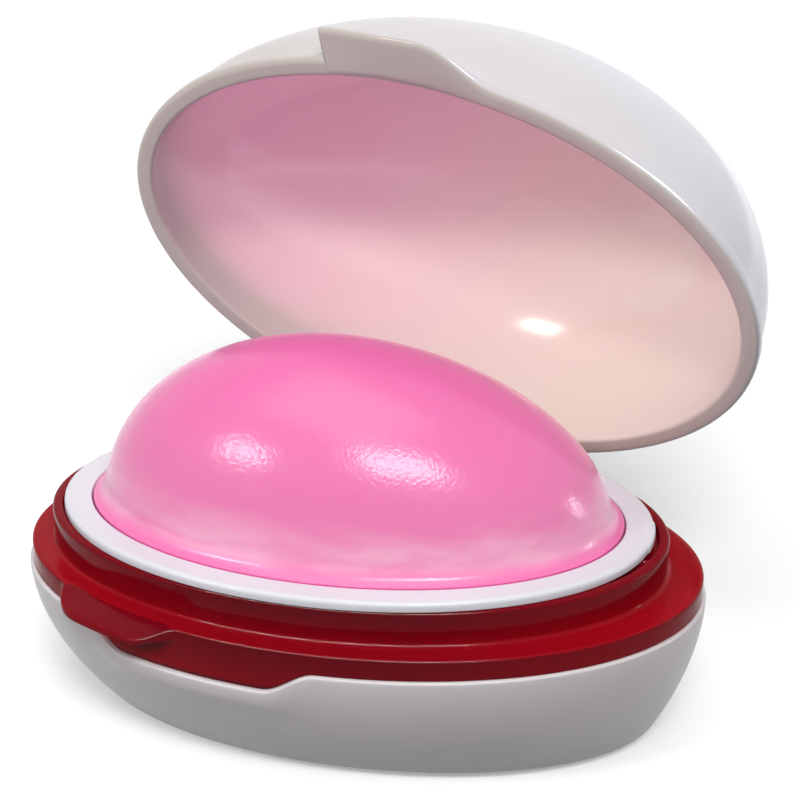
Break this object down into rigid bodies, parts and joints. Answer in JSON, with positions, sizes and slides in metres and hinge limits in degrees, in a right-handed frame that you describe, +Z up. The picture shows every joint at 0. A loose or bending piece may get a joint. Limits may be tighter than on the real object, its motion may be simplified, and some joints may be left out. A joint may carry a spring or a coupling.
{
  "type": "finger moistener",
  "caption": "Egg-shaped desk finger moistener: hinged white lid over a soft pink dome, clamped by a white ring in a red water tray on a white bowl base.",
  "frame": {"origin": "on the flat foot of the base, under the middle of the oval flange", "axes": "+Z up, +X along the oval to the right in the picture, +Y to the hinge side at the back"},
  "size_m": [0.0852, 0.0784, 0.0779],
  "materials": {
    "shell_white": "glossy moulded white plastic",
    "tray_red": "glossy see-through red plastic",
    "ring_white": "satin moulded white plastic",
    "dome_pink": "soft translucent pink, fine pebble grain, moist",
    "sponge_cream": "open-cell sponge, damp",
    "pin_steel": "drawn steel wire"
  },
  "bodies": {
    "base": {"base_shell": "shell_white", "reservoir_tray": "tray_red", "clamp_ring": "ring_white", "gel_dome": "dome_pink", "wick_sponge": "sponge_cream", "hinge_pin": "pin_steel"},
    "lid": {"lid_shell": "shell_white"}
  },
  "joints": [
    {"name": "lid_hinge", "type": "hinge", "parent": "base", "child": "lid", "pos_m": [0.0124, 0.02679, 0.0199], "axis": [0.9808, -0.1951, 0], "range_deg": [0, 77.4]}
  ]
}
